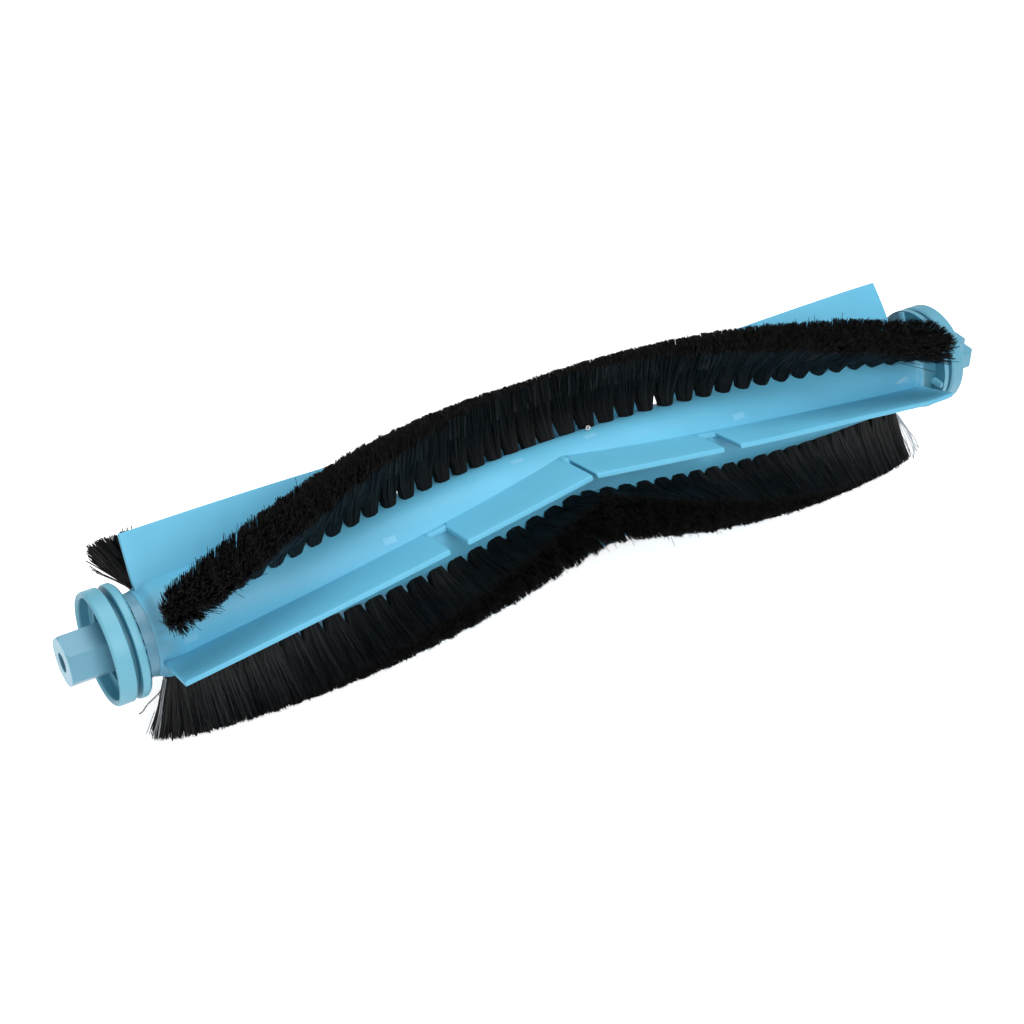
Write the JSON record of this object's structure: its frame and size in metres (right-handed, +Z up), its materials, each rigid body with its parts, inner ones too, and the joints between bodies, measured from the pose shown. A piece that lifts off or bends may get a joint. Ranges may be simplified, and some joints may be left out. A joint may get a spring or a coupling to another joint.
{
  "type": "robot vacuum roller brush",
  "caption": "Roller brush for a floor-cleaning robot: hard spindle, soft sleeve with chevron blades, swept bristle rows, hex drive stub with cup, and idler cap with tongue.",
  "frame": {"origin": "on the roller's axis in the plane of the drive cup's mouth", "axes": "+X along the axis from the drive end to the idler end, +Y away from the viewer of the picture, +Z up"},
  "size_m": [0.1902, 0.0404, 0.0402],
  "materials": {
    "spindle": "satin moulded",
    "sleeve": "soft matte",
    "bristles": "black nylon",
    "drive_cup": "satin moulded",
    "idler_cap": "satin moulded"
  },
  "bodies": {
    "root": {"spindle_core": "spindle", "blade_sleeve": "sleeve", "bristle_row_1": "bristles", "bristle_row_2": "bristles", "bristle_row_3": "bristles", "drive_end_cup": "drive_cup", "idler_end_cap": "idler_cap"}
  },
  "joints": []
}
